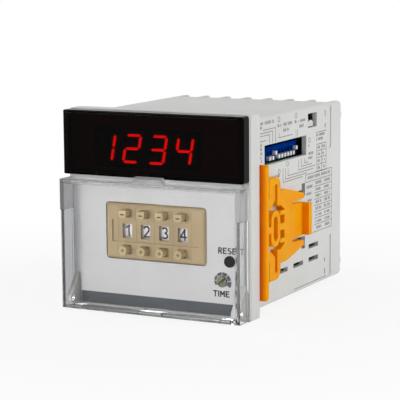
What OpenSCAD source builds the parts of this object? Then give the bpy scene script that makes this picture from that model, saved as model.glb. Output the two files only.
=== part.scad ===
// Panel counter for a square panel cut-out.
// Origin: centre of the panel plane, on the back of the flange.
// X to the right, Y towards the back, Z up. The front faces -Y.

/* [Case] */
// Width and height of the square flange
flange_w = 72; // [70:0.5:80]
// Depth of the case's own flange in front of the panel
flange_d = 7.7; // [6:0.1:10]
// Corner radius of the flange
flange_r = 1.2; // [0.5:0.1:3]
// Length of the slope on the flange's back edges
flange_slope_l = 2.3; // [1:0.1:3]
// Width of the slope on the flange's back edges
flange_slope_w = 0.4; // [0.2:0.1:1.4]
// Stand of the flange out from the case's sides
lip_x = 2.5; // [2:0.1:3]
// Stand of the flange out from the case's top and bottom
lip_z = 2.2; // [2:0.1:3]
// Length of the case behind the panel
case_len = 65; // [62:1:90]
// Thickness of the case walls
case_wall = 1.8; // [1.4:0.1:2.2]
// Corner radius of the case
case_r = 1.2; // [0.6:0.1:1.6]

/* [Side openings] */
// Length of the switch window in the right side
dip_window_l = 36; // [30:0.5:38]
// Height of the switch window
dip_window_h = 7.2; // [6:0.1:9]
// Front end of the switch window, behind the panel
dip_window_y = 8.5; // [6:0.5:12]
// Drop of the switch window's middle below the case's top
dip_window_drop = 13.8; // [12:0.1:16]
// Length of the selector hole
selector_hole_l = 8.1; // [7:0.1:10]
// Height of the selector hole
selector_hole_h = 5.3; // [5:0.1:7]
// Front end of the selector hole
selector_hole_y = 46; // [45:0.5:48]
// Drop of the selector hole's middle below the case's top
selector_drop = 5.1; // [4.8:0.1:6.5]
// Length of a vent slot
vent_l = 8.7; // [6:0.1:10]
// Height of a vent slot
vent_h = 1.7; // [1:0.1:2.5]
// Distance between vents along the side
vent_pitch = 13.8; // [12:0.1:15]
// Middle of the rearmost vent, behind the panel
vent_y = 51.3; // [48:0.5:54]
// Height of the lower row of vents
vent_row_z = -23.4; // [-26:0.2:-22]
// Rise of the single vent above the lower row
vent_rise = 5; // [3:0.2:6]
// Width of the slits beside the rear snaps
snap_slit_w = 0.8; // [0.5:0.1:1.2]

/* [Terminal block] */
// Terminals in each row
terminal_count = 7; // [5:1:7]
// Width of the block beside the first and the last terminal
end_wall = 1.3; // [1:0.1:2]
// Thickness of the barrier walls
barrier_t = 1.2; // [0.8:0.1:1.8]
// Depth of a terminal cell from the back
cell_d = 9.5; // [8:0.5:11]
// Height of a terminal cell from the outside
cell_h = 12.8; // [11:0.2:14]
// Length of the block behind the case
block_len = 12; // [11:0.5:16]
// Width of the shallow joint groove around the block's sides
groove_w = 2.8; // [2:0.1:3.5]
// Depth of the joint groove
groove_d = 0.35; // [0.2:0.05:0.6]
// Radius of the block's rear corners
block_r = 2.2; // [1:0.1:3]
// Length of the block's spigot inside the case
spigot_l = 7; // [5:0.5:9]
// Diameter of a terminal screw's shank
screw_d = 3; // [2.5:0.1:3.5]
// Diameter of a terminal screw's head
screw_head_d = 5.6; // [5:0.1:6.2]
// Height of a terminal screw's head
screw_head_t = 2; // [1.5:0.1:2.5]
// Room beside a clamp plate in its cell
clamp_room = 0.7; // [0.5:0.1:1]
// Thickness of a clamp plate
clamp_t = 0.9; // [0.6:0.1:1.2]
// Thickness of a contact strip
contact_t = 0.8; // [0.5:0.1:1]

/* [Front frame] */
// Thickness of the frame's lip on the flange
frame_lip = 0.8; // [0.6:0.1:1.2]
// Thickness of the frame inside the flange
frame_t = 1.6; // [1.2:0.1:2]
// Depth of the tongues that plug into the case
tongue_d = 6; // [4:0.5:7]
// Thickness of the plug-in tongues
tongue_t = 1.4; // [1:0.1:1.8]
// Thickness of the hinge gussets
gusset_t = 1.9; // [1.5:0.1:2.4]
// Height of the gussets above the hinge
gusset_h = 9; // [6:0.5:12]
// Thickness of the bottom ledge
ledge_t = 0.8; // [0.6:0.1:1.2]
// Height of the ledge's top above the flange's bottom edge
ledge_rise = 1.9; // [1.6:0.1:2.5]
// Width of the gap in the middle of the ledge
ledge_gap = 9.3; // [6:0.1:14]

/* [Display] */
// Height of the black window
window_h = 23.1; // [21:0.1:25]
// Depth of the black window in front of the frame
window_d = 4.7; // [4.4:0.1:6]
// Wall thickness of the black window
window_wall = 1.4; // [1:0.1:1.6]
// Radius of the window's front edges
window_r = 1; // [0.5:0.1:1.4]
// Inset of the window from the flange's edges
window_inset = 0.3; // [0.1:0.05:0.6]
// Number of digits
digit_count = 4; // [4:1:4]
// Distance between digits
digit_pitch = 10.3; // [10:0.1:11]
// Height of a digit
digit_h = 10.4; // [8:0.1:10.8]
// Width of a digit between its side bars
digit_w = 5.6; // [5:0.1:6]
// Width of a lit bar
digit_bar = 0.95; // [0.8:0.05:1.4]
// Slant of the digits in degrees
digit_slant = 10; // [0:1:12]
// Sideways shift of the middle of the digits
digit_x = -3.3; // [-4:0.1:4]
// Drop of the digits below the middle of the window
digit_drop = 1.45; // [0.5:0.05:2]
// Depth of a digit module
module_d = 5.5; // [4:0.1:6.5]
// Thickness of the circuit boards
board_t = 1.6; // [1.2:0.1:2]

/* [Control plate] */
// Thickness of the silver plate
plate_t = 1; // [0.6:0.1:1.4]
// Gap between the plate's side edges and the cover's walls
plate_side_gap = 0.8; // [0.5:0.1:1.2]
// Room beside a hinge gusset in the plate's lower corners
notch_room = 1.1; // [0.5:0.1:1.5]
// Corner radius of the plate's lower corner notches
notch_r = 0.8; // [0.4:0.1:0.9]
// Diameter of the reset button
reset_d = 3.9; // [3:0.1:4.4]
// Distance of the reset button from the plate's right edge
reset_in = 4.4; // [4.2:0.1:5]
// Height of the reset button
reset_z = -14.8; // [-16:0.1:-14]
// Travel of the reset button
reset_travel = 0.8; // [0.4:0.1:1]
// Diameter of the trimmer shaft
trim_d = 3.8; // [3:0.1:4.4]
// Distance of the trimmer from the plate's right edge
trim_in = 7.4; // [7:0.1:7.8]
// Height of the trimmer
trim_z = -22; // [-24:0.1:-21.5]
// Side of the square trimmer body
trim_body_w = 8; // [7:0.1:8]
// Depth of the trimmer body
trim_body_d = 4.6; // [4:0.1:5]

/* [Thumbwheel switches] */
// Width of the opening in the plate
opening_w = 40.2; // [39.6:0.1:41]
// Height of the opening in the plate
opening_h = 20.5; // [20:0.1:21]
// Corner radius of the opening
opening_r = 1.6; // [1:0.1:2]
// Height of the middle of the opening
bank_z = -6.9; // [-7.4:0.1:-6.6]
// Sideways shift of the switch units in the bank
unit_shift = -0.4; // [-1:0.1:1]
// Number of switch units
unit_count = 4; // [4:1:4]
// Width of one switch unit
unit_pitch = 7.37; // [7.2:0.01:7.6]
// Stand of the bank in front of the plate
bank_proud = 0.5; // [0.2:0.1:1]
// Radius around the bank's front edge
bank_r = 1.4; // [0.8:0.1:1.8]
// Thickness of the front wall of a switch
unit_front_t = 1.4; // [1.2:0.1:1.6]
// Depth of a switch behind the frame
unit_d = 25; // [20:1:28]
// Height of a switch behind the frame
unit_h = 22; // [21.6:0.1:22.6]
// Height of the recessed band around the number windows
band_h = 7.7; // [7:0.1:8.2]
// Length of the recessed band
band_l = 34.6; // [33:0.1:36]
// Depth of the recessed band
band_d = 0.5; // [0.3:0.05:0.7]
// Width of a number window
number_w = 3.8; // [3:0.1:4.2]
// Height of a number window
number_h = 5.1; // [4:0.1:5.6]
// Radius of a number wheel
wheel_r = 7.8; // [7.4:0.1:8]
// Width of a number wheel
wheel_w = 4.5; // [4.3:0.1:4.7]
// Diameter of the pin that a number wheel turns on
wheel_pin_d = 2.4; // [2:0.1:3]
// Steps in one turn of a number wheel
wheel_steps = 10; // [8:1:12]
// Distance of the buttons above and below the bank's middle
button_offset = 6.5; // [6.4:0.05:6.7]
// Width of a minus button
button_w = 3; // [2.6:0.1:3.2]
// Height of a minus button
button_h = 2.6; // [2.2:0.1:2.8]
// Chamfer under a minus button
button_chamfer = 0.7; // [0.3:0.1:1]
// Width across the flats of a plus button
plus_w = 2.9; // [2.6:0.1:3.1]
// Stand of the buttons in front of the bank
button_proud = 3.2; // [2.5:0.1:3.4]

/* [Clear cover] */
// Depth of the cover in front of the frame
cover_d = 8.2; // [8:0.1:9]
// Wall thickness of the cover
cover_wall = 1.4; // [1:0.1:1.6]
// Inset of the cover from the flange's edges
cover_inset = 0.5; // [0.3:0.05:0.8]
// Gap between the cover and the black window
cover_gap = 1.5; // [1.2:0.1:2]
// Chamfer on the cover's front edges
cover_chamfer = 1.1; // [0.6:0.1:1.3]
// Stand of the finger grips on the cover's sides
grip_t = 0.3; // [0.2:0.05:0.4]
// Height of the lower end of the finger grips
grip_z = 0; // [-2:0.5:3]
// Height of the hinge above the cover's bottom
hinge_rise = 3.3; // [3.1:0.05:3.4]
// Distance of the hinge behind the cover's front
hinge_back = 3.4; // [3.3:0.05:3.6]
// Diameter of the hinge pins
hinge_d = 2; // [1.6:0.1:2.2]
// Width of the finger tab at its foot
tab_w = 12.6; // [10:0.1:16]
// Height of the finger tab
tab_h = 2.3; // [1.6:0.1:3]
// Gap between the finger tab and the black window's face
tab_gap = 0.5; // [0.3:0.1:1]
// Distance of the slots in the cover's bottom wall from the hinge
cover_slot_in = 3.9; // [3:0.1:6]
// Width of the slots in the cover's bottom wall
cover_slot_w = 1.4; // [0.8:0.1:1.8]

/* [Mounting brackets] */
// Height of the middle of the brackets
bracket_z = -6.1; // [-7:0.1:-5]
// Height of the pressing bar
bar_h = 47.7; // [44:0.1:50]
// Thickness of the pressing bar along the case
bar_t = 2.7; // [2:0.1:3.2]
// Stand of the pressing bar out from the case
bar_out = 4.1; // [3.5:0.1:5]
// Thickness of the spring loops and the plate
bracket_t = 2.6; // [2:0.1:3]
// Radius of the pressing bar's outer edge and rear corners
bar_r = 1.2; // [0.6:0.1:1.5]
// Width of the band of spring loops
loop_w = 9.2; // [8.5:0.1:10]
// Reach of the spring loops from the bracket's middle
loop_reach = 18.3; // [17:0.1:20]
// Radius of the spring loops' rear corners
loop_r = 3.5; // [2:0.1:4]
// Width of the slots inside the spring loops
loop_slot = 2; // [1:0.1:2.4]
// Distance of the loops' slots from the plate
loop_slot_in = 3.6; // [3:0.1:4.2]
// Gap between the pressing bar and the loops
loop_gap = 3.7; // [2:0.1:4]
// Width of the oval ring
ring_w = 7.6; // [7:0.1:8.4]
// Height of the oval ring
ring_h = 13; // [12:0.1:14]
// Thickness of the oval ring
ring_t = 2.1; // [1.5:0.1:2.4]
// Half height of the plate at its front
plate_reach = 12.9; // [12.4:0.1:13.5]
// Length of the plate and its release tongue
plate_l = 23.1; // [22:0.1:25]
// Length of the plate before its wings narrow
plate_square = 5.5; // [3:0.1:8]
// Stand-back of the wings from the end of the tongue
wing_back = 2.6; // [1:0.1:4]
// Half height of the release tongue at its end
tongue_reach = 5.85; // [5:0.05:6.2]
// Half height of the release tongue at its root
tongue_root = 6.7; // [6.2:0.1:7]
// Step from the plate down to the release tongue
tongue_step = 0.6; // [0.3:0.1:1]
// Height of the lip at the end of the release tongue
lip_h = 2; // [1:0.1:3]
// Thickness of the lip
lip_t = 2.7; // [2:0.1:3.2]
// Width of a hook at the end of a wing
hook_w = 1.8; // [1.5:0.1:2.2]
// Length of a hook along the case
hook_l = 2.5; // [2:0.1:3]
// Slide of a bracket along the case
bracket_travel = 6.8; // [4:0.1:7]
// Height of the entries that the hooks go in at
hook_entry_h = 4.7; // [4:0.1:5]
// Length of the hook entries along the case
hook_entry_l = 3; // [2.9:0.1:4]

/* [Side switches] */
// Number of sliders in the option switch
dip_count = 10; // [8:1:10]
// Distance between the sliders
dip_pitch = 2.54; // [2.4:0.01:2.6]
// Height of the option switch
dip_h = 5.2; // [5:0.1:6]
// Depth of the option switch on its board
dip_d = 3; // [2.6:0.1:3.4]
// Side of a slider
dip_slider = 1.35; // [1:0.05:1.5]
// Stand of a slider out of the switch
dip_stand = 1.2; // [0.8:0.1:1.4]
// Travel of a slider
dip_travel = 1.6; // [1:0.1:1.7]
// Sliders set up, the others are down
dip_up = [3, 10]; // [1:1:10]
// Length of the selector knob
knob_l = 4.6; // [3:0.1:5]
// Height of the selector knob
knob_h = 2.3; // [2:0.1:2.4]

/* [Inside] */
// Distance of the main board from the right side's inner face
board_inset = 4.9; // [4.7:0.1:5.4]
// Place of the power board left of the middle
power_x = -22; // [-24:0.5:-21.5]
// Width of the transformer
transformer_w = 24; // [20:0.5:28]
// Length of the transformer
transformer_l = 28; // [24:0.5:30]
// Height of the transformer
transformer_h = 26; // [22:0.5:30]
// Length of the relay
relay_l = 20; // [15:0.5:22]
// Height of the relay
relay_h = 15.5; // [12:0.5:17]
// Depth of the relay on its board
relay_d = 11; // [10:0.5:16]
// Diameter of a capacitor
capacitor_d = 10; // [6:0.5:12]
// Length of a capacitor
capacitor_l = 16; // [10:0.5:20]

/* [Hidden] */
$fn = 48;
// Clearance of a plugged or dropped-in fit
fit = 0.15;
// Clearance of a sliding fit
slide_fit = 0.12;
// Radial clearance of a turning fit
turn_fit = 0.05;
// Gap between a moving piece and a still one
run_gap = 0.3;
// Overshoot of a cut
cut = 1;

case_w = flange_w - 2 * lip_x;
case_h = flange_w - 2 * lip_z;
case_top = case_h / 2;
inner_w = case_w - 2 * case_wall;
inner_h = case_h - 2 * case_wall;
side_x = case_w / 2;
wall_x = inner_w / 2;
roof_z = inner_h / 2;
flange_z = flange_w / 2;
dip_window_z = case_top - dip_window_drop;
selector_hole_z = case_top - selector_drop;

frame_y = -flange_d - frame_lip;
frame_back = frame_y + frame_t;
frame_half = flange_z - window_inset / 2;
tongue_top = roof_z - fit;
tongue_share = 0.8;
tongue_w = inner_w * tongue_share;

window_top = flange_z - window_inset;
window_bottom = window_top - window_h;
window_half = flange_z - window_inset;
window_y = frame_y - window_d;

cover_top = window_bottom - cover_gap;
cover_bottom = -flange_z + cover_inset;
cover_half = flange_z - cover_inset;
cover_y = frame_y - cover_d;
cover_back = frame_y - run_gap;
hinge_y = cover_y + hinge_back;
hinge_z = cover_bottom + hinge_rise;
hinge_swing = frame_y - run_gap - hinge_y;
floor_reach = frame_y - plate_t - run_gap - hinge_y;
floor_back = hinge_y + sqrt(max(0, floor_reach * floor_reach - hinge_rise * hinge_rise));

cover_inner = cover_half - cover_wall;
gusset_out = cover_inner - run_gap;
gusset_in = gusset_out - gusset_t;
gusset_top = hinge_z + gusset_h;
boss_r = min(hinge_rise, hinge_back) - cover_wall - run_gap;
ledge_top = -flange_z + ledge_rise;
ledge_proud = 0.4;
ledge_y = frame_y - plate_t - ledge_proud;

plate_y = frame_y - plate_t;
plate_half = cover_inner - plate_side_gap;
plate_top = window_bottom - fit;
plate_bottom = ledge_top + fit;
notch_in = gusset_in - notch_room;
notch_w = plate_half + cut - notch_in;
notch_h = gusset_top + fit - plate_bottom + cut;

digit_z = (window_top + window_bottom) / 2 - digit_drop;
module_gap = 1;
module_margin = 1.5;
module_y = window_y + window_wall + module_gap;
module_back = module_y + module_d;
module_w = digit_pitch - 2 * fit;
module_h = digit_h + 2 * module_margin;
aperture_w = digit_count * digit_pitch + 2 * fit;
aperture_h = module_h + 2 * fit;
bar_relief = 0.4;
bar_split = 0.2;
display_gap = 1;
display_half = wall_x - display_gap;
display_top = tongue_top - tongue_t - fit;
display_bottom = window_bottom + run_gap;
post_r = 1.8;

bank_y = plate_y - bank_proud;
bank_w = opening_w - 2 * fit;
bank_h = opening_h - 2 * fit;
shoulder_y = frame_back;
unit_back = shoulder_y + unit_d;
joint_gap = 0.05;
unit_w = unit_pitch - joint_gap;
unit_wall = 0.9;
units_left = unit_shift - unit_count * unit_pitch / 2;
units_right = unit_shift + unit_count * unit_pitch / 2;
wheel_y = bank_y + unit_front_t + run_gap + wheel_r;
cavity_w = unit_w - 2 * unit_wall;
retainer_t = 0.6;
retainer_y = bank_y + unit_front_t + slide_fit;
retainer_side = 0.5;
retainer_out = 1.6;
plus_collar_w = plus_w * 0.8;
plus_collar_h = plus_w * 0.4;

reset_x = plate_half - reset_in;
trim_x = plate_half - trim_in;
reset_proud = 0.5;
reset_face = plate_y - reset_proud;
reset_collar_w = 0.5;
reset_collar_t = 0.6;
reset_collar_y = frame_back + slide_fit;
reset_stem_l = 2.2;
reset_stem_end = reset_collar_y + reset_collar_t + reset_stem_l;
reset_stem_d = 2;
tact_w = 4.5;
tact_d = 2.5;
control_y = reset_stem_end + reset_travel + fit + tact_d;
trim_body_y = control_y - trim_body_d;
trim_seat = 1;
trim_turn = -40;
trim_slot_w = 0.8;
trim_slot_d = 1.2;
control_left = bank_w / 2 + cut;
control_right = wall_x - 2 * fit;
control_post_r = 0.9;
control_top = reset_z + tact_w / 2 + run_gap + 2 * control_post_r;
control_bottom = trim_z - trim_body_w / 2 - run_gap - 2 * control_post_r;

bracket_x = side_x + fit;
bar_y = run_gap;
loop_y = bar_y + bar_t + loop_gap;
plate_start = loop_y + loop_w;
plate_end = plate_start + plate_l;
wing_end = plate_end - wing_back;
slot_mid = plate_start - loop_slot_in;
ring_mid = plate_start - fit - ring_w / 2;
wing_gap = 1.95;
hook_in = tongue_reach + wing_gap;
hook_out = hook_in + hook_w;
hook_slot_in = hook_in - run_gap;
hook_slot_h = hook_w + 2 * run_gap;
hook_slot_front = wing_end - hook_l - run_gap;
hook_slot_back = wing_end + bracket_travel + run_gap;
hook_t = 1.7;
hook_face = wall_x - run_gap;
hook_catch = 1.2;

board_x = wall_x - board_inset;
board_edge = 1.7;
board_half = roof_z - board_edge;
board_front = control_y + board_t + cut;
guide_t = 1.2;
guide_h = 2.8;
guide_back = case_len - spigot_l - fit;
floor_t = 1.6;
block_floor = case_len - floor_t;
tail_l = 3;
board_back = block_floor - tail_l - run_gap;

dip_face = board_x + dip_d;
dip_end = 0.8;
dip_l = dip_count * dip_pitch + 2 * dip_end;
dip_back = dip_window_y + dip_window_l - dip_end;
dip_slot_h = dip_slider + dip_travel + 2 * slide_fit;
dip_slot_d = 1.2;
dip_drop = 2.3;
dip_rim = 0.35;
dip_low = dip_window_z - dip_drop;
dip_bottom = dip_low - dip_slider / 2 - dip_rim;
selector_d = 3.2;
selector_slot_d = 1.4;
selector_rim = 0.5;
selector_face = board_x + selector_d;
selector_low = selector_hole_z - selector_hole_h / 2 + run_gap;
selector_l = selector_hole_l + 2 * selector_rim;
selector_top = roof_z - guide_h - fit;
knob_mid = selector_hole_y + selector_hole_l / 2;
knob_sink = 0.8;
knob_out = side_x - knob_sink;

back_y = case_len + block_len;
cell_floor = back_y - cell_d;
terminal_pitch = (case_w - 2 * end_wall) / terminal_count;
cell_w = terminal_pitch - barrier_t;
cell_z = case_top - cell_h;
clamp_w = cell_w - 2 * clamp_room;
contact_face = cell_floor + contact_t;
clamp_face = contact_face + clamp_t;
screw_drop = 0.6;
screw_z = case_top - cell_h / 2 - screw_drop;
screw_bite = 2.6;
screw_end = cell_floor - screw_bite;
screw_slot_w = 0.9;
screw_slot_d = 1;
screw_cross = screw_head_d * 0.7;
contact_w = cell_w - 2 * fit;
contact_short = 3;
contact_h = cell_h - contact_short;
tail_w = 2.4;
nub_r = 1.5;
nub_drop = 5.5;
nub_z = case_top - nub_drop;
groove_drop = 9.2;
groove_z = case_top - groove_drop;
groove_h = 15.6;
snap_drops = [[9, 7.4], [4.8, 2.4]];
snap_slit_d = 0.6;
snap_slit_in = 2.6;
snap_slit_y = case_len - snap_slit_in;

core_leg = 5;
core_gap = 2;
core_z = -8;
relay_gap = 4;
relay_drop = 22.3;
relay_z = board_half - relay_drop;
capacitor_count = 3;
capacitor_gap = 2;
capacitor_y = 6;
capacitor_drop = 12.3;
capacitor_z = board_half - capacitor_drop;

web_w = 2.4;
foot_w = 3.4;
ring_gap = 1.4;
loop_free = ring_h / 2 + ring_gap;
loop_strip = 2.4;
loop_mouth = 1.4;
pocket_d = 3.4;
pocket_in = [1.2, 4.2];
pocket_out = [5.8, 8.6];
slit_run = 10.2;
slit_start = plate_start + slit_run;
slit_w = 0.4;
tab_slope = 1;
wheel_notch_r = 0.8;
wheel_rim_t = 0.8;

case_colour = [0.83, 0.83, 0.81];
tan_colour = [0.72, 0.63, 0.47];
orange_colour = [0.96, 0.6, 0.06];
board_colour = [0.13, 0.35, 0.2];

// Box between two corners
module box(low, high) {
    translate(low) cube(high - low);
}

// Sketch in X and Z carried along Y
module along_y(from, to) {
    translate([0, to, 0]) rotate([90, 0, 0]) linear_extrude(to - from) children();
}

// Sketch in Y and Z carried along X
module along_x(from, to) {
    translate([from, 0, 0]) rotate([90, 0, 90]) linear_extrude(to - from) children();
}

// Sketch in X and Y carried along Z
module along_z(from, to) {
    translate([0, 0, from]) linear_extrude(to - from) children();
}

// Round rod along X
module rod_x(from, to, d) {
    translate([from, 0, 0]) rotate([0, 90, 0]) cylinder(d = d, h = to - from);
}

// Round rod along Y
module rod_y(from, to, d) {
    translate([0, to, 0]) rotate([90, 0, 0]) cylinder(d = d, h = to - from);
}

// Rectangle with round corners, about its middle
module round_rect(w, h, r) {
    square([w - 2 * r, h], center = true);
    square([w, h - 2 * r], center = true);
    for (x = [-1, 1], y = [-1, 1])
        translate([x * (w / 2 - r), y * (h / 2 - r)]) circle(r);
}

// Rectangle whose corners are rounded on its far side only
module far_round(near, far, half, r) {
    translate([near, -half]) square([far - r - near, 2 * half]);
    translate([far - r - cut, r - half]) square([r + cut, 2 * (half - r)]);
    for (y = [-1, 1])
        translate([far - r, y * (half - r)]) circle(r);
}

// Long hole or bar with round ends, upright about its middle
module stadium(w, h) {
    square([w, h - w], center = true);
    for (y = [-1, 1])
        translate([0, y * (h - w) / 2]) circle(d = w);
}

// The same shape on the left and the right side
module both_sides() {
    children();
    mirror([1, 0, 0]) children();
}

// The same shape above and below
module both_heights() {
    children();
    mirror([0, 0, 1]) children();
}

// Slots, vents and slits that both sides of the case share
module side_cuts() {
    translate([0, 0, bracket_z])
        both_heights() {
            box([wall_x - cut, hook_slot_front, hook_slot_in],
                [side_x + cut, hook_slot_back, hook_slot_in + hook_slot_h]);
            box([wall_x - cut, hook_slot_back - hook_entry_l, hook_slot_in],
                [side_x + cut, hook_slot_back, hook_slot_in + hook_entry_h]);
        }
    for (i = [0:2])
        vent(vent_y - i * vent_pitch, vent_row_z);
    vent(vent_y, vent_row_z + vent_rise);
    both_heights()
        for (drop = snap_drops)
            box([side_x - snap_slit_d, snap_slit_y - snap_slit_w, case_top - drop[0]],
                [side_x + cut, snap_slit_y, case_top - drop[1]]);
}

module vent(y, z) {
    box([wall_x - cut, y - vent_l / 2, z - vent_h / 2], [side_x + cut, y + vent_l / 2, z + vent_h / 2]);
}

// Pairs of ribs that hold a board's upper and lower edges
module card_guides(x) {
    inner = board_t / 2 + fit;
    translate([x, 0, 0])
        both_sides() both_heights()
            box([inner, board_front, roof_z - guide_h], [inner + guide_t, guide_back, roof_z + fit]);
}

// Half-section of the flange from front to back, sloped towards the panel
module flange_profile() {
    polygon([[-flange_d, -flange_z], [-flange_slope_l, -flange_z], [0, flange_slope_w - flange_z],
        [0, flange_z - flange_slope_w], [-flange_slope_l, flange_z], [-flange_d, flange_z]]);
}

module case() {
    color(case_colour) {
        difference() {
            union() {
                intersection() {
                    along_y(-flange_d, 0) round_rect(flange_w, flange_w, flange_r);
                    along_x(-flange_z, flange_z) flange_profile();
                    along_z(-flange_z, flange_z) mirror([1, -1]) flange_profile();
                }
                along_y(-flange_d, case_len) round_rect(case_w, case_h, case_r);
            }
            along_y(-flange_d - cut, case_len + cut) square([inner_w, inner_h], center = true);
            both_sides() side_cuts();
            box([wall_x - cut, dip_window_y, dip_window_z - dip_window_h / 2],
                [side_x + cut, dip_window_y + dip_window_l, dip_window_z + dip_window_h / 2]);
            box([wall_x - cut, selector_hole_y, selector_hole_z - selector_hole_h / 2],
                [side_x + cut, selector_hole_y + selector_hole_l, selector_hole_z + selector_hole_h / 2]);
        }
        card_guides(board_x - board_t / 2);
        card_guides(power_x);
    }
}

// One call for every terminal, at its middle and turned to its row
module each_terminal() {
    for (row = [0, 1], i = [0:terminal_count - 1])
        mirror([0, 0, row]) translate([(i - (terminal_count - 1) / 2) * terminal_pitch, 0, 0]) children();
}

module terminal_block() {
    spigot_w = inner_w - 2 * fit;
    spigot_h = inner_h - 2 * fit;
    color(case_colour) {
        difference() {
            union() {
                intersection() {
                    along_y(case_len, back_y) round_rect(case_w, case_h, case_r);
                    along_x(-side_x, side_x) far_round(case_len, back_y, case_top, block_r);
                }
                along_y(case_len - spigot_l, case_len + fit) square([spigot_w, spigot_h], center = true);
            }
            along_y(case_len - spigot_l - cut, block_floor)
                square([spigot_w - 2 * tongue_t, spigot_h - 2 * tongue_t], center = true);
            for (x = [-1, 1], z = [-1, 1])
                translate([x * side_x, case_len + groove_w / 2, z * groove_z])
                    cube([2 * groove_d, groove_w, groove_h], center = true);
            each_terminal() {
                box([-cell_w / 2, cell_floor, cell_z], [cell_w / 2, back_y + cut, case_top + cut]);
                translate([0, 0, screw_z]) rod_y(screw_end - 2 * fit, cell_floor + cut, screw_d + 4 * fit);
                box([-tail_w / 2 - fit, block_floor - cut, cell_z],
                    [tail_w / 2 + fit, cell_floor + cut, cell_z + contact_t + 2 * fit]);
            }
        }
        both_sides() both_heights()
            intersection() {
                translate([0, back_y - nub_r / 2, nub_z]) rod_x(side_x - case_wall, side_x, 2 * nub_r);
                box([0, back_y - fit, 0], [case_w, back_y + nub_r, case_h]);
            }
    }
}

module terminal_contacts() {
    color("goldenrod")
        each_terminal() {
            difference() {
                box([-contact_w / 2, cell_floor, cell_z + fit],
                    [contact_w / 2, contact_face, cell_z + contact_h]);
                translate([0, 0, screw_z]) rod_y(cell_floor - cut, contact_face + cut, screw_d + 2 * fit);
            }
            box([-tail_w / 2, block_floor - tail_l, cell_z + fit],
                [tail_w / 2, contact_face, cell_z + fit + contact_t]);
        }
}

module terminal_clamps() {
    color("silver")
        each_terminal()
            difference() {
                translate([0, (contact_face + clamp_face) / 2, screw_z])
                    cube([clamp_w, clamp_t, clamp_w], center = true);
                translate([0, 0, screw_z]) rod_y(contact_face - cut, clamp_face + cut, screw_d + 2 * fit);
            }
}

module terminal_screws() {
    color("silver")
        each_terminal()
            translate([0, 0, screw_z])
                difference() {
                    union() {
                        rod_y(screw_end, clamp_face + cut, screw_d);
                        rod_y(clamp_face, clamp_face + screw_head_t, screw_head_d);
                    }
                    for (size = [[screw_head_d + cut, screw_slot_w], [screw_slot_w, screw_cross]])
                        translate([0, clamp_face + screw_head_t, 0])
                            cube([size[0], 2 * screw_slot_d, size[1]], center = true);
                }
}

// Outline of a hinge gusset, in Y and Z
module gusset_outline() {
    difference() {
        union() {
            polygon([[frame_y, hinge_z - boss_r], [frame_y, gusset_top],
                [hinge_y - boss_r * sin(45), hinge_z + boss_r * cos(45)], [hinge_y, hinge_z - boss_r]]);
            translate([hinge_y, hinge_z]) circle(boss_r);
        }
        translate([hinge_y, hinge_z]) circle(d = hinge_d + 2 * turn_fit);
    }
}

// Holes for the switch bank, the reset button and the trimmer
module control_holes(from, to) {
    translate([0, 0, bank_z]) along_y(from, to) round_rect(opening_w, opening_h, opening_r);
    translate([reset_x, 0, reset_z]) rod_y(from, to, reset_d + 2 * slide_fit);
    translate([trim_x, 0, trim_z]) rod_y(from, to, trim_d + 2 * fit);
}

module front_frame() {
    color(case_colour) {
        difference() {
            union() {
                along_y(frame_y, -flange_d) round_rect(2 * frame_half, 2 * frame_half, flange_r);
                along_y(frame_y, frame_back) square([inner_w - 2 * fit, inner_h - 2 * fit], center = true);
                both_heights()
                    box([-tongue_w / 2, frame_back - fit, tongue_top - tongue_t],
                        [tongue_w / 2, frame_back + tongue_d, tongue_top]);
            }
            translate([digit_x, 0, digit_z]) along_y(frame_y - cut, frame_back + cut)
                square([aperture_w, aperture_h], center = true);
            control_holes(frame_y - cut, frame_back + cut);
        }
        both_sides() {
            along_x(gusset_in, gusset_out) gusset_outline();
            box([ledge_gap / 2, ledge_y, ledge_top - ledge_t], [gusset_in, frame_y, ledge_top]);
        }
        for (x = [-1, 1], z = [display_bottom + post_r, display_top - post_r])
            translate([x * (display_half - post_r), 0, z]) rod_y(frame_back - fit, module_back, 2 * post_r);
        for (z = [control_top - control_post_r, control_bottom + control_post_r])
            translate([control_left + control_post_r, 0, z])
                rod_y(frame_back - fit, control_y, 2 * control_post_r);
    }
}

// Box with round front edges, from its front face back to a flat rear face
module front_soft_box(half, bottom, top, front, back, r) {
    middle = (bottom + top) / 2;
    translate([0, 0, middle])
        intersection() {
            along_y(front, back) round_rect(2 * half, top - bottom, r);
            along_x(-half, half) mirror([1, 0]) far_round(-back, -front, (top - bottom) / 2, r);
            along_z(bottom - middle, top - middle) rotate(-90) far_round(-back, -front, half, r);
        }
}

module display_window() {
    color([0.06, 0.05, 0.05])
        difference() {
            front_soft_box(window_half, window_bottom, window_top, window_y, frame_y, window_r);
            box([window_wall - window_half, window_y + window_wall, window_bottom + window_wall],
                [window_half - window_wall, frame_y + cut, window_top - window_wall]);
        }
}

function digit_mid(i) = digit_x + (i - (digit_count - 1) / 2) * digit_pitch;

module digit_modules() {
    color([0.1, 0.1, 0.1])
        for (i = [0:digit_count - 1])
            translate([digit_mid(i), (module_y + module_back) / 2, digit_z])
                cube([module_w, module_d, module_h], center = true);
}

// Ends of the seven bars of a digit: top, upper right, lower right, bottom, lower left, upper left, middle
digit_corners = [for (z = [1, 0, -1], x = [-1, 1]) [x * digit_w / 2, z * (digit_h - digit_bar) / 2]];
bar_ends = [[0, 1], [1, 3], [3, 5], [4, 5], [2, 4], [0, 2], [2, 3]];
lit = [[1, 2], [0, 1, 6, 4, 3], [0, 1, 6, 2, 3], [5, 6, 1, 2]];

function lean(p) = [p[0] + p[1] * tan(digit_slant), p[1]];

// Outline of one bar with pointed ends
function bar_outline(a, b) =
    let (along = (b - a) / norm(b - a), across = [-along[1], along[0]] * digit_bar / 2,
        start = a + along * bar_split, end = b - along * bar_split, point = along * digit_bar / 2)
    [start, start + point + across, end - point + across, end, end - point - across, start + point - across];

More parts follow.
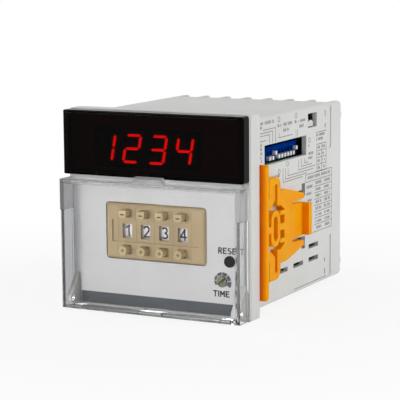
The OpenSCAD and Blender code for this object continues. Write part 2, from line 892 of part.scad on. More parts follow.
module digit_bars(i, bars) {
    translate([digit_mid(i), 0, digit_z])
        along_y(module_y - bar_relief, module_y)
            for (b = bars) {
                ends = bar_ends[b];
                polygon([for (p = bar_outline(digit_corners[ends[0]], digit_corners[ends[1]])) lean(p)]);
            }
}

module lit_bars() {
    color("red")
        for (i = [0:digit_count - 1])
            digit_bars(i, lit[i]);
}

module unlit_bars() {
    color([0.2, 0.08, 0.08])
        for (i = [0:digit_count - 1])
            digit_bars(i, [for (b = [0:6]) if (len(search(b, lit[i])) == 0) b]);
}

module display_board() {
    color(board_colour)
        box([-display_half, module_back, display_bottom], [display_half, module_back + board_t, display_top]);
}

module front_plate() {
    color("silver")
        difference() {
            box([-plate_half, plate_y, plate_bottom], [plate_half, frame_y, plate_top]);
            control_holes(plate_y - cut, frame_y + cut);
            both_sides()
                translate([notch_in + notch_w / 2, 0, plate_bottom - cut + notch_h / 2])
                    along_y(plate_y - cut, frame_y + cut) round_rect(notch_w, notch_h, notch_r);
        }
}

// Nose and body of the switch bank, from one side to the other
module bank_slice(left, right) {
    along_x(left, right)
        translate([0, bank_z]) {
            mirror([1, 0]) far_round(-shoulder_y - fit, -bank_y, bank_h / 2, bank_r);
            translate([shoulder_y, -unit_h / 2]) square([unit_d, unit_h]);
        }
}

// Recessed band that runs along the bank's front
module bank_band() {
    box([-band_l / 2, bank_y - cut, bank_z - band_h / 2], [band_l / 2, bank_y + band_d, bank_z + band_h / 2]);
}

function unit_mid(i) = units_left + (i - 0.5) * unit_pitch;

module switch_housing(i) {
    mid = unit_mid(i);
    front = bank_y + unit_front_t;
    color(tan_colour) {
        difference() {
            bank_slice(mid - unit_w / 2, mid + unit_w / 2);
            bank_band();
            box([mid - number_w / 2, bank_y - cut, bank_z - number_h / 2],
                [mid + number_w / 2, front + cut, bank_z + number_h / 2]);
            translate([mid, wheel_y, bank_z]) rod_x(-cavity_w / 2, cavity_w / 2, 2 * (wheel_r + run_gap));
            box([mid - cavity_w / 2, front, bank_z - unit_h / 2 + unit_wall],
                [mid + cavity_w / 2, wheel_y, bank_z + unit_h / 2 - unit_wall]);
            translate([mid, 0, bank_z + button_offset]) along_y(bank_y - cut, front + cut)
                square([button_w + 2 * slide_fit, button_h + 2 * slide_fit], center = true);
            translate([mid, 0, bank_z - button_offset]) along_y(bank_y - cut, front + cut)
                square([plus_w + 2 * slide_fit, plus_w + 2 * slide_fit], center = true);
        }
        translate([0, wheel_y, bank_z]) rod_x(mid - unit_w / 2, mid + unit_w / 2, wheel_pin_d);
    }
}

// End plate of the bank; the outer end is rounded like the front
module switch_end(inner, outer) {
    side = sign(outer);
    color(tan_colour)
        difference() {
            bank_slice(min(inner, outer), max(inner, outer));
            bank_band();
            along_z(bank_z - unit_h, bank_z + unit_h)
                translate([outer - side * bank_r, bank_y + bank_r])
                    difference() {
                        translate([side > 0 ? 0 : -bank_r - cut, -bank_r - cut]) square(bank_r + cut);
                        circle(bank_r);
                    }
            for (z = [-1, 1])
                translate([outer - side * opening_r, 0, bank_z + z * (bank_h / 2 - opening_r)])
                    along_y(bank_y - cut, shoulder_y)
                        difference() {
                            translate([side > 0 ? 0 : -opening_r - cut, z > 0 ? 0 : -opening_r - cut])
                                square(opening_r + cut);
                            circle(opening_r);
                        }
        }
}

module switch_end_left() switch_end(units_left - joint_gap / 2, -bank_w / 2);

module switch_end_right() switch_end(units_right + joint_gap / 2, bank_w / 2);

module number_wheel(i) {
    color("white")
        translate([unit_mid(i), wheel_y, bank_z])
            difference() {
                rod_x(-wheel_w / 2, wheel_w / 2, 2 * wheel_r);
                rod_x(-wheel_w, wheel_w, wheel_pin_d + 2 * turn_fit);
                for (k = [0:wheel_steps - 1])
                    rotate([(k + 0.5) * 360 / wheel_steps, 0, 0]) translate([0, 0, wheel_r])
                        rod_x(wheel_w / 2 - wheel_rim_t, wheel_w, 2 * wheel_notch_r);
            }
}

// Retaining collar behind the front wall, on the side away from the wheel
module button_retainer(mid, w, h, z, outward) {
    inner = z - outward * h / 2;
    outer = z + outward * (h / 2 + retainer_out);
    box([mid - w / 2 - retainer_side, retainer_y, min(inner, outer)],
        [mid + w / 2 + retainer_side, retainer_y + retainer_t, max(inner, outer)]);
}

module minus_button(i) {
    mid = unit_mid(i);
    z = bank_z + button_offset;
    color(tan_colour) {
        translate([mid, 0, z]) along_y(bank_y - button_proud, retainer_y + retainer_t)
            polygon([[-button_w / 2, button_h / 2], [button_w / 2, button_h / 2],
                [button_w / 2, button_chamfer - button_h / 2],
                [button_w / 2 - button_chamfer, -button_h / 2],
                [button_chamfer - button_w / 2, -button_h / 2],
                [-button_w / 2, button_chamfer - button_h / 2]]);
        button_retainer(mid, button_w, button_h - 2 * button_chamfer, z, 1);
    }
}

module plus_button(i) {
    mid = unit_mid(i);
    z = bank_z - button_offset;
    color(tan_colour) {
        translate([mid, 0, z]) along_y(bank_y - button_proud, retainer_y + retainer_t)
            rotate(22.5) circle(d = plus_w / cos(22.5), $fn = 8);
        button_retainer(mid, plus_collar_w, plus_collar_h, z, -1);
    }
}

module reset_button() {
    color([0.08, 0.08, 0.08])
        translate([reset_x, 0, reset_z]) {
            rod_y(reset_face, reset_collar_y + reset_collar_t, reset_d);
            rod_y(reset_collar_y, reset_collar_y + reset_collar_t, reset_d + 2 * reset_collar_w);
            rod_y(reset_collar_y, reset_stem_end, reset_stem_d);
        }
}

module reset_switch() {
    color([0.15, 0.15, 0.15])
        translate([reset_x, control_y - tact_d / 2, reset_z]) cube([tact_w, tact_d, tact_w], center = true);
}

module trimmer_body() {
    color([0.2, 0.35, 0.6])
        difference() {
            translate([trim_x, trim_body_y + trim_body_d / 2, trim_z])
                cube([trim_body_w, trim_body_d, trim_body_w], center = true);
            translate([trim_x, 0, trim_z])
                rod_y(trim_body_y - cut, trim_body_y + trim_seat + slide_fit, trim_d + 2 * turn_fit);
        }
}

module trimmer_shaft() {
    color([0.45, 0.45, 0.36])
        translate([trim_x, 0, trim_z])
            difference() {
                rod_y(reset_face, trim_body_y + trim_seat, trim_d);
                rotate([0, trim_turn, 0]) translate([0, reset_face, 0])
                    cube([trim_d + cut, 2 * trim_slot_d, trim_slot_w], center = true);
            }
}

module control_board() {
    color(board_colour)
        box([control_left, control_y, control_bottom], [control_right, control_y + board_t, control_top]);
}

module main_board() {
    color(board_colour)
        box([board_x - board_t, board_front, -board_half], [board_x, board_back, board_half]);
}

module power_board() {
    color(board_colour)
        box([power_x - board_t / 2, board_front, -board_half],
            [power_x + board_t / 2, board_back, board_half]);
}

module transformer() {
    color([0.3, 0.3, 0.32])
        translate([power_x + board_t / 2, unit_back + core_gap, core_z - transformer_h / 2]) {
            for (z = [0, transformer_h - core_leg])
                translate([0, 0, z]) cube([transformer_w, transformer_l, core_leg]);
            translate([core_leg, core_leg, 0])
                cube([transformer_w - 2 * core_leg, transformer_l - 2 * core_leg, transformer_h]);
        }
}

module relay() {
    color([0.1, 0.2, 0.5])
        translate([board_x - board_t - relay_d, unit_back + relay_gap, relay_z])
            cube([relay_d, relay_l, relay_h]);
}

module capacitors() {
    pitch = capacitor_d + capacitor_gap;
    color([0.15, 0.2, 0.35])
        for (i = [0:capacitor_count - 1])
            translate([power_x + board_t / 2, unit_back + capacitor_y + i * pitch, capacitor_z])
                rod_x(0, capacitor_l, capacitor_d);
}

function dip_y(i) = dip_back - dip_l / 2 + (i - (dip_count + 1) / 2) * dip_pitch;
function dip_is_up(i) = len(search(i, dip_up)) > 0;

module dip_switch() {
    color([0.1, 0.3, 0.7])
        difference() {
            box([board_x, dip_back - dip_l, dip_bottom], [dip_face, dip_back, dip_bottom + dip_h]);
            for (i = [1:dip_count])
                translate([dip_face, dip_y(i), dip_low - dip_slider / 2 + dip_slot_h / 2 - slide_fit])
                    cube([2 * dip_slot_d, dip_slider + 2 * slide_fit, dip_slot_h], center = true);
        }
}

module dip_slider(i) {
    z = dip_low + (dip_is_up(i) ? dip_travel : 0);
    color("white")
        box([dip_face - dip_slot_d + slide_fit, dip_y(i) - dip_slider / 2, z - dip_slider / 2],
            [dip_face + dip_stand, dip_y(i) + dip_slider / 2, z + dip_slider / 2]);
}

module selector_switch() {
    color([0.12, 0.12, 0.12])
        difference() {
            box([board_x, knob_mid - selector_l / 2, selector_low - 2 * selector_rim],
                [selector_face, knob_mid + selector_l / 2, selector_top]);
            box([selector_face - selector_slot_d, knob_mid - knob_l / 2 - slide_fit,
                selector_low - slide_fit],
                [selector_face + cut, knob_mid + knob_l / 2 + slide_fit, selector_top + cut]);
        }
}

module selector_knob() {
    color(case_colour)
        intersection() {
            box([selector_face - selector_slot_d + slide_fit, knob_mid - knob_l / 2, selector_low],
                [knob_out, knob_mid + knob_l / 2, selector_low + knob_h]);
            translate([0, knob_mid, selector_low + knob_h - knob_l]) rod_x(0, case_w, 2 * knob_l);
        }
}

// Loops, ring and plate of a bracket in Y and Z, about the bracket's middle
module bracket_outline() {
    foot = bar_y + bar_t - fit;
    slot_low = loop_free - loop_slot / 2;
    slot_top = loop_reach - loop_strip;
    difference() {
        union() {
            for (side = [0, 1])
                mirror([0, side]) {
                    translate([loop_y, loop_free]) square([loop_w - loop_r, loop_reach - loop_free]);
                    translate([loop_y, loop_free]) square([loop_w, loop_reach - loop_r - loop_free]);
                    translate([plate_start - loop_r, loop_reach - loop_r]) circle(loop_r);
                    translate([foot, loop_free]) square([loop_gap + 2 * fit, foot_w]);
                }
            translate([ring_mid, 0]) stadium(ring_w, ring_h);
            translate([foot, -web_w / 2]) square([ring_mid - ring_w / 2 + ring_t / 2 - foot, web_w]);
            translate([ring_mid + ring_w / 2 - ring_t / 2, -web_w / 2])
                square([pocket_d + 2 * ring_t, web_w]);
            plate_outline();
        }
        for (side = [0, 1])
            mirror([0, side]) {
                translate([slot_mid, (slot_top + slot_low) / 2]) stadium(loop_slot, slot_top - slot_low);
                polygon([[slot_mid + loop_slot / 2, loop_free + web_w],
                    [slot_mid - loop_slot / 2, loop_free + web_w],
                    [loop_y + loop_mouth, loop_free - fit], [slot_mid + loop_slot / 2, loop_free - fit]]);
            }
        translate([ring_mid, 0]) stadium(ring_w - 2 * ring_t, ring_h - 2 * ring_t);
    }
}

// Plate with its two wings and the release tongue between them
module plate_outline() {
    front = plate_start - fit;
    knee = plate_start + plate_square;
    difference() {
        union() {
            polygon([[front, -plate_reach], [front, plate_reach], [knee, plate_reach], [wing_end, hook_out],
                [wing_end, -hook_out], [knee, -plate_reach]]);
            polygon([[slit_start, -tongue_root], [slit_start, tongue_root], [plate_end, tongue_reach],
                [plate_end, -tongue_reach]]);
        }
        for (side = [0, 1])
            mirror([0, side]) {
                polygon([[slit_start, tongue_root], [slit_start, tongue_root + slit_w], [wing_end, hook_in],
                    [plate_end, hook_in], [plate_end, tongue_reach]]);
                translate([plate_start - cut, pocket_in[0]])
                    square([pocket_d + cut, pocket_in[1] - pocket_in[0]]);
                polygon([[plate_start - cut, pocket_out[0]], [plate_start - cut, pocket_out[1]],
                    [plate_start + pocket_d, pocket_out[0] + slit_w],
                    [plate_start + pocket_d, pocket_out[0]]]);
            }
    }
}

// Section of the pressing bar from above, in X and Y, with its round outer edge
module bar_section() {
    translate([0, bar_y]) square([bar_out - bar_r, bar_t]);
    translate([0, bar_y + bar_r]) square([bar_out, bar_t - bar_r]);
    translate([bar_out - bar_r, bar_y + bar_r]) circle(bar_r);
}

module bracket() {
    step_half = tongue_root + slit_w / 2;
    color(orange_colour)
        translate([bracket_x, 0, bracket_z]) {
            intersection() {
                along_x(0, bar_out) far_round(bar_y, bar_y + bar_t, bar_h / 2, bar_r);
                along_z(-bar_h / 2, bar_h / 2) bar_section();
            }
            difference() {
                along_x(0, bracket_t) bracket_outline();
                box([bracket_t - tongue_step, slit_start, -step_half],
                    [bracket_t + cut, plate_end + cut, step_half]);
            }
            box([bracket_t - tongue_step - fit, plate_end - lip_t, -tongue_reach],
                [bracket_t + lip_h, plate_end, tongue_reach]);
            both_heights() {
                box([hook_face - hook_t - bracket_x, wing_end - hook_l, hook_in],
                    [fit, wing_end, hook_out]);
                box([hook_face - hook_t - bracket_x, wing_end - hook_l, hook_in - hook_catch],
                    [hook_face - bracket_x, wing_end, hook_out]);
            }
        }
}

module bracket_right() bracket();

module bracket_left() mirror([1, 0, 0]) bracket();

// Outline of the cover from the side, in Y and Z, rounded behind the hinge
module cover_side_outline() {
    difference() {
        polygon([[cover_back, cover_bottom], [cover_y + cover_chamfer, cover_bottom],
            [cover_y, cover_bottom + cover_chamfer], [cover_y, cover_top - cover_chamfer],
            [cover_y + cover_chamfer, cover_top], [cover_back, cover_top]]);
        translate([hinge_y, cover_bottom - cut])
            difference() {
                square([cover_back - hinge_y + cut, hinge_rise + cut]);
                translate([0, hinge_rise + cut]) circle(hinge_swing);
            }
    }
}

// Outline of the cover from above, in X and Y
module cover_plan_outline() {
    polygon([[-cover_half, cover_back], [-cover_half, cover_y + cover_chamfer],
        [cover_chamfer - cover_half, cover_y], [cover_half - cover_chamfer, cover_y],
        [cover_half, cover_y + cover_chamfer], [cover_half, cover_back]]);
}

module clear_cover() {
    inner_y = cover_y + cover_wall;
    inner_bottom = cover_bottom + cover_wall;
    notch = gusset_in - run_gap;
    rim = plate_half + run_gap;
    tab_back = window_y - tab_gap;
    color([0.9, 0.95, 1, 0.35]) {
        difference() {
            intersection() {
                along_x(-cover_half, cover_half) cover_side_outline();
                along_z(cover_bottom, cover_top) cover_plan_outline();
            }
            box([-cover_inner, inner_y, inner_bottom],
                [cover_inner, cover_back + cut, cover_top - cover_wall]);
            box([-rim, plate_y - run_gap, cover_bottom - cut], [rim, cover_back + cut, cover_top + cut]);
            box([-notch, floor_back, cover_bottom - cut], [notch, cover_back + cut, inner_bottom + cut]);
            both_sides() {
                box([notch, inner_y, cover_bottom - cut],
                    [cover_inner, cover_back + cut, inner_bottom + cut]);
                box([ledge_gap / 2, hinge_y - cover_slot_w, cover_bottom - cut],
                    [notch - cover_slot_in, hinge_y, inner_bottom + cut]);
            }
        }
        along_y(cover_y + cover_chamfer, tab_back)
            polygon([[-tab_w / 2, cover_top - cover_wall], [tab_w / 2, cover_top - cover_wall],
                [tab_w / 2, cover_top], [tab_w / 2 - tab_slope, cover_top + tab_h],
                [tab_slope - tab_w / 2, cover_top + tab_h], [-tab_w / 2, cover_top]]);
        both_sides() {
            translate([0, hinge_y, hinge_z]) rod_x(gusset_in + fit, cover_inner + fit, hinge_d);
            box([cover_half - fit, cover_y + cover_chamfer, grip_z],
                [cover_half + grip_t, cover_back, cover_top]);
        }
    }
}

case();
terminal_block();
terminal_screws();
terminal_clamps();
terminal_contacts();
front_frame();
display_window();
digit_modules();
lit_bars();
unlit_bars();
display_board();
front_plate();
switch_end_left();
switch_end_right();
for (i = [1:unit_count]) {
    switch_housing(i);
    number_wheel(i);
    minus_button(i);
    plus_button(i);
}
reset_button();
reset_switch();
trimmer_body();
trimmer_shaft();
control_board();
main_board();
power_board();
transformer();
relay();
capacitors();
dip_switch();
for (i = [1:dip_count])
    dip_slider(i);
selector_switch();
selector_knob();
bracket_right();
bracket_left();
clear_cover();
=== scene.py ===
# Panel counter: finishes, printed marks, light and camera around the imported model
import math

import bpy
import numpy as np
from mathutils import Matrix, Vector


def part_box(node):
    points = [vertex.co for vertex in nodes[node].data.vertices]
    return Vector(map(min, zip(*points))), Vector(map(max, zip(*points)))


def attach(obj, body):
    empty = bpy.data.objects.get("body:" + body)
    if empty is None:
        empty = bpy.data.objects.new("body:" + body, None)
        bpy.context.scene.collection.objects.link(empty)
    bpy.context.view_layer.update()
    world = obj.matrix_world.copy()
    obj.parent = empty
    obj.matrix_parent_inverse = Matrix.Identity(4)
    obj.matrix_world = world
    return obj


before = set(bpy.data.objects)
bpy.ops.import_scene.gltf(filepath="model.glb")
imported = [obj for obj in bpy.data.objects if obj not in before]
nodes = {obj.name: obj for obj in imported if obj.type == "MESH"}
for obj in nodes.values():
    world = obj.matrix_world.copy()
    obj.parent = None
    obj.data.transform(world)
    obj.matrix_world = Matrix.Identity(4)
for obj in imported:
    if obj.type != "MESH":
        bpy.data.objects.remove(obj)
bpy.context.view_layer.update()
scene = bpy.context.scene
mm = 0.001
unitNumbers = range(1, 5)
dipNumbers = range(1, 11)
bevelSamples = 4
print("frame loaded:", len(nodes), "nodes")


# Colours are written as they look on screen, 0 to 255
def tone(red, green, blue):
    share = np.array([red, green, blue]) / 255
    linear = np.where(share <= 0.04045, share / 12.92, ((share + 0.055) / 1.055) ** 2.4)
    return (*linear.tolist(), 1.0)


def newFinish(name):
    finish = bpy.data.materials.new(name)
    finish.use_nodes = True
    tree = finish.node_tree
    place = tree.nodes.new("ShaderNodeTexCoord")
    return finish, tree, tree.nodes["Principled BSDF"], place.outputs["Object"]


def noiseOn(tree, vector, size, detail=2.0, roughness=0.5):  # size is the width of one blotch, in metres
    noise = tree.nodes.new("ShaderNodeTexNoise")
    noise.inputs["Scale"].default_value = 1 / size
    noise.inputs["Detail"].default_value = detail
    noise.inputs["Roughness"].default_value = roughness
    tree.links.new(vector, noise.inputs["Vector"])
    return noise.outputs["Fac"]


def stretched(tree, vector, scale):  # pattern drawn out along one axis
    mapping = tree.nodes.new("ShaderNodeMapping")
    mapping.inputs["Scale"].default_value = scale
    tree.links.new(vector, mapping.inputs["Vector"])
    return mapping.outputs["Vector"]


def axes(tree, vector):  # a place taken apart into X, Y and Z
    split = tree.nodes.new("ShaderNodeSeparateXYZ")
    tree.links.new(vector, split.inputs["Vector"])
    return split.outputs


def between(tree, factor, low, high, start=0.3, end=0.7):  # a number that follows a pattern
    ramp = tree.nodes.new("ShaderNodeMapRange")
    ramp.inputs["From Min"].default_value = start
    ramp.inputs["From Max"].default_value = end
    ramp.inputs["To Min"].default_value = low
    ramp.inputs["To Max"].default_value = high
    tree.links.new(factor, ramp.inputs["Value"])
    return ramp.outputs["Result"]


def blended(tree, factor, first, second, kind="RGBA"):  # each end is a constant or a socket
    mix = tree.nodes.new("ShaderNodeMix")
    mix.data_type = kind
    tree.links.new(factor, mix.inputs["Factor"])
    for key, value in (("A", first), ("B", second)):
        if isinstance(value, bpy.types.NodeSocket):
            tree.links.new(value, mix.inputs[key])
        else:
            mix.inputs[key].default_value = value
    return mix.outputs["Result"]


def shades(tree, factor, look):  # the two close shades of a finish
    return blended(tree, factor, tone(*look["dark"]), tone(*look["light"]))


def worked(tree, operation, *values):  # a sum or other step on one to three sockets
    step = tree.nodes.new("ShaderNodeMath")
    step.operation = operation
    for value, socket in zip(values, step.inputs):
        tree.links.new(value, socket)
    return step.outputs[0]


def measured(tree, operation, *vectors):  # one number from one or two vectors
    step = tree.nodes.new("ShaderNodeVectorMath")
    step.operation = operation
    for vector, socket in zip(vectors, step.inputs):
        tree.links.new(vector, socket)
    return step.outputs["Value"]


def roundedNormal(tree, radius):  # moulded edges are never quite sharp
    rounded = tree.nodes.new("ShaderNodeBevel")
    rounded.samples = bevelSamples
    rounded.inputs["Radius"].default_value = radius
    return rounded.outputs["Normal"]


def edgeMask(tree, look):  # 1 along edges, where the rounded normal leaves the flat one
    flat = tree.nodes.new("ShaderNodeNewGeometry")
    turn = measured(tree, "DOT_PRODUCT", roundedNormal(tree, look["edge"]), flat.outputs["Normal"])
    return between(tree, worked(tree, "ABSOLUTE", turn), 1, 0, *look["edgeSpan"])


def mirrored(tree, rays):  # 1 for what gloss and glass show
    return worked(tree, "MAXIMUM", rays["Is Glossy Ray"], rays["Is Transmission Ray"])


def shaderMix(tree, factor, first, second, surface):  # one shader gives way to another
    mix = tree.nodes.new("ShaderNodeMixShader")
    tree.links.new(factor, mix.inputs["Fac"])
    tree.links.new(first.outputs[0], mix.inputs[1])
    tree.links.new(second.outputs[0], mix.inputs[2])
    tree.links.new(mix.outputs[0], surface)


def raised(tree, shader, height, depth):
    bump = tree.nodes.new("ShaderNodeBump")
    bump.inputs["Strength"].default_value = 1.0
    bump.inputs["Distance"].default_value = depth
    tree.links.new(height, bump.inputs["Height"])
    tree.links.new(bump.outputs["Normal"], shader.inputs["Normal"])
    return bump


# Moulded plastic: two close shades in soft clouds, a fine grain in the gloss and the relief
usualPlastic = {"cloud": 14 * mm, "cloudDetail": 3, "grain": 0.25 * mm, "grainDetail": 4, "grainRough": 0.6,
                "vary": 0.06, "shine": 0.5, "relief": 0.01 * mm, "edge": 0.2 * mm,
                "glow": 0.0, "glowReach": (1.0, 0.25, 0.05), "glowDepth": 1.6 * mm}


def moulded(name, own):
    look = {**usualPlastic, **own}
    finish, tree, shader, place = newFinish(name)
    cloud = noiseOn(tree, place, look["cloud"], look["cloudDetail"])
    grain = noiseOn(tree, place, look["grain"], look["grainDetail"], look["grainRough"])
    colour = shades(tree, between(tree, cloud, 0, 1), look)
    if "inner" in look:  # painted shade: the front bar is painted a redder orange where it turns in to the case and lies in shade behind the flange
        parts = axes(tree, place)
        inside = between(tree, worked(tree, "ABSOLUTE", parts["X"]), 1, 0, *look["innerSpan"])
        inFront = between(tree, parts["Y"], 1, 0, *look["frontSpan"])
        colour = blended(tree, worked(tree, "MULTIPLY", inside, inFront), colour, tone(*look["inner"]))
    rough = between(tree, grain, look["rough"] - look["vary"], look["rough"] + look["vary"])
    tree.links.new(colour, shader.inputs["Base Color"])
    tree.links.new(rough, shader.inputs["Roughness"])
    shader.inputs["Specular IOR Level"].default_value = look["shine"]
    shader.inputs["Subsurface Weight"].default_value = look["glow"]
    shader.inputs["Subsurface Radius"].default_value = look["glowReach"]
    shader.inputs["Subsurface Scale"].default_value = look["glowDepth"]
    bump = raised(tree, shader, grain, look["relief"])
    tree.links.new(roundedNormal(tree, look["edge"]), bump.inputs["Normal"])
    return finish


def printInk(name, dark, light, rough=0.6):  # printed film has a finer grain than the mouldings
    return moulded(name, {"dark": dark, "light": light, "rough": rough, "grain": 0.1 * mm})


# Metal: shades drawn out along one axis, as plating and rolling leave them
usualMetal = {"streak": 0.4 * mm, "streakDetail": 4, "streakRough": 0.6, "vary": 0.08, "metal": 1.0,
              "relief": 0.006 * mm}


def drawnMetal(name, own):
    look = {**usualMetal, **own}
    finish, tree, shader, place = newFinish(name)
    drawn = stretched(tree, place, look["draw"])
    streak = noiseOn(tree, drawn, look["streak"], look["streakDetail"], look["streakRough"])
    rough = between(tree, streak, look["rough"] - look["vary"], look["rough"] + look["vary"])
    tree.links.new(shades(tree, between(tree, streak, 0, 1), look), shader.inputs["Base Color"])
    tree.links.new(rough, shader.inputs["Roughness"])
    shader.inputs["Metallic"].default_value = look["metal"]
    raised(tree, shader, streak, look["relief"])
    return finish


# Painted shade: the cover's walls are painted greyer towards the left, and its corners darker still,
# standing in for shade and dark refractions in the clear walls
def wallShades(tree, parts, inWall, colour, look):
    sideways = between(tree, parts["X"], 0, 1, -look["wallFrom"], look["wallFrom"])
    wall = blended(tree, sideways, tone(*look["leftWallShade"]), tone(*look["rightWallShade"]))
    corner = blended(tree, sideways, tone(*look["leftCornerShade"]), tone(*look["rightCornerShade"]))
    return blended(tree, edgeMask(tree, look), blended(tree, inWall, colour, wall), corner)


# The grips above the middle and the finger tab are frosted, and the slanting edges a little dull:
# the sizes of a face's three normal parts add up to 1 on a straight face and to more on a slanting one
def wallFrost(tree, place, parts, inWall, rough, look):
    upper = between(tree, parts["Z"], 0, look["frost"], -look["blend"] / 2, look["blend"] / 2)
    onTab = between(tree, parts["Z"], 0, look["frost"], look["tabFrom"], look["tabFrom"] + look["blend"])
    frosted = worked(tree, "MULTIPLY_ADD", upper, inWall, rough)
    x, y, z = (worked(tree, "ABSOLUTE", part) for part in axes(tree, place.node.outputs["Normal"]))
    slant = worked(tree, "ADD", worked(tree, "ADD", x, y), z)
    dull = between(tree, slant, 0, look["dull"], *look["slantSpan"])
    return worked(tree, "MAXIMUM", worked(tree, "MAXIMUM", frosted, onTab), dull)


# Clear plastic: faint flow waves from the mould bend the light a little
def clearPlastic(name, look):
    finish, tree, shader, place = newFinish(name)
    flow = noiseOn(tree, stretched(tree, place, look["draw"]), look["flow"])
    colour = shades(tree, between(tree, flow, 0, 1), look)
    rough = between(tree, flow, look["rough"], look["rough"] * 2)
    parts = axes(tree, place)
    outward = worked(tree, "ABSOLUTE", parts["X"])
    if "ends" in look:  # smoked walls seen end on are nearly black
        inEnds = between(tree, outward, 0, 1, *look["endSpan"])
        colour = blended(tree, inEnds, colour, tone(*look["ends"]))
    if "leftWallShade" in look:
        inSide = between(tree, outward, 0, 1, look["wallFrom"], look["wallFrom"] + look["blend"])
        inFloor = between(tree, parts["Z"], 1, 0, look["floorTo"] - look["blend"], look["floorTo"])
        inWall = worked(tree, "MAXIMUM", inSide, inFloor)
        # painted shade: greyer side and bottom walls and darker corners
        colour = wallShades(tree, parts, inWall, colour, look)
        rough = wallFrost(tree, place, parts, inWall, rough, look)
        rays = tree.nodes.new("ShaderNodeLightPath").outputs  # lamp light goes straight through
        clear = tree.nodes.new("ShaderNodeBsdfTransparent")
        let = blended(tree, inWall, tone(*look["lamps"]), tone(*look["wallLamps"]))
        tree.links.new(let, clear.inputs["Color"])
        surface = tree.nodes["Material Output"].inputs["Surface"]
        shaderMix(tree, rays["Is Shadow Ray"], shader, clear, surface)
    tree.links.new(colour, shader.inputs["Base Color"])
    tree.links.new(rough, shader.inputs["Roughness"])
    shader.inputs["Transmission Weight"].default_value = look["through"]
    shader.inputs["IOR"].default_value = look["bend"]
    shader.inputs["Specular Tint"].default_value = (look["mirror"],) * 3 + (1.0,)
    raised(tree, shader, flow, look["relief"])
    return finish


# Lit bars: the light is clouded by the diffuser, and falls off along its rims
def litPlastic(name, look):
    finish, tree, shader, place = newFinish(name)
    colour = shades(tree, between(tree, noiseOn(tree, place, look["cloud"]), 0, 1), look)
    light = blended(tree, edgeMask(tree, look), colour, tone(*look["rim"]))
    tree.links.new(colour, shader.inputs["Base Color"])
    tree.links.new(light, shader.inputs["Emission Color"])
    shader.inputs["Emission Strength"].default_value = look["strength"]
    shader.inputs["Roughness"].default_value = look["rough"]
    return finish


# Circuit board: green lacquer over copper lanes that bend at square corners
def boardFinish(name, look):
    finish, tree, shader, place = newFinish(name)
    lanes = tree.nodes.new("ShaderNodeTexVoronoi")
    lanes.distance = "CHEBYCHEV"
    lanes.feature = "DISTANCE_TO_EDGE"
    lanes.inputs["Scale"].default_value = 1 / look["lane"]
    tree.links.new(place, lanes.inputs["Vector"])
    copper = between(tree, lanes.outputs["Distance"], 1, 0, *look["laneSpan"])
    cloud = noiseOn(tree, place, look["cloud"])
    tree.links.new(shades(tree, copper, look), shader.inputs["Base Color"])
    tree.links.new(between(tree, cloud, *look["roughSpan"]), shader.inputs["Roughness"])
    raised(tree, shader, copper, look["relief"])
    return finish


# Laminated core: thin dark lines between the sheets
def coreFinish(name, look):
    finish, tree, shader, place = newFinish(name)
    sheets = tree.nodes.new("ShaderNodeTexWave")
    sheets.bands_direction = "X"
    sheets.inputs["Scale"].default_value = 1 / look["sheet"]
    sheets.inputs["Distortion"].default_value = look["waver"]
    tree.links.new(place, sheets.inputs["Vector"])
    lines = sheets.outputs["Fac"]
    tree.links.new(shades(tree, lines, look), shader.inputs["Base Color"])
    tree.links.new(between(tree, lines, *look["roughSpan"], 0, 1), shader.inputs["Roughness"])
    shader.inputs["Metallic"].default_value = look["metal"]
    raised(tree, shader, lines, look["relief"])
    return finish


casePlastic = moulded("casePlastic", {"dark": (212, 213, 211), "light": (220, 221, 219), "rough": 0.5,
                                      "cloud": 30 * mm, "grain": 0.3 * mm, "relief": 0.012 * mm})
tanPlastic = moulded("tanPlastic", {"dark": (186, 163, 122), "light": (196, 174, 134), "rough": 0.5})
pegPlastic = moulded("pegPlastic", {"dark": (206, 182, 134), "light": (216, 193, 148), "rough": 0.42})
wheelPlastic = moulded("wheelPlastic", {"dark": (244, 243, 248), "light": (252, 251, 255), "rough": 0.4})
buttonBlack = moulded("buttonBlack", {"dark": (12, 12, 13), "light": (18, 18, 19), "rough": 0.35,
                                      "shine": 0.1})
blackPlastic = moulded("blackPlastic", {"dark": (22, 22, 24), "light": (32, 32, 34), "rough": 0.4})
moduleBlack = moulded("moduleBlack", {"dark": (14, 12, 13), "light": (20, 18, 19), "rough": 0.6})
darkBars = moulded("darkBars", {"dark": (26, 14, 14), "light": (34, 18, 18), "rough": 0.5})
trimmerBlue = moulded("trimmerBlue", {"dark": (40, 74, 128), "light": (50, 86, 142), "rough": 0.5})
trimmerOlive = moulded("trimmerOlive", {"dark": (116, 118, 92), "light": (136, 138, 110), "rough": 0.5,
                                        "cloud": 2 * mm})
relayBlue = moulded("relayBlue", {"dark": (28, 52, 112), "light": (36, 62, 126), "rough": 0.3})
sleevePlastic = moulded("sleevePlastic", {"dark": (30, 40, 70), "light": (38, 50, 84), "rough": 0.25})
dipBlue = moulded("dipBlue", {"dark": (0, 38, 112), "light": (5, 54, 140), "rough": 0.45, "shine": 0.0,
                              "cloud": 4 * mm})
sliderWhite = moulded("sliderWhite", {"dark": (236, 234, 228), "light": (246, 245, 240), "rough": 0.4})
knobGrey = moulded("knobGrey", {"dark": (206, 210, 208), "light": (218, 221, 219), "rough": 0.45})
orangePlastic = moulded("orangePlastic", {"dark": (255, 154, 0), "light": (255, 168, 0), "rough": 0.42,
                                          "cloud": 10 * mm, "shine": 0.05, "glow": 0.85,
                                          # painted shade: a redder orange where the bar turns in behind the
                                          # flange
                                          "inner": (255, 108, 0), "innerSpan": (35.8 * mm, 37.6 * mm),
                                          "frontSpan": (2 * mm, 3.2 * mm)})
inkDark = printInk("inkDark", (34, 34, 38), (46, 46, 50))
inkGrey = printInk("inkGrey", (120, 119, 114), (132, 131, 126))
inkSlate = printInk("inkSlate", (72, 77, 84), (80, 85, 92), 0.5)
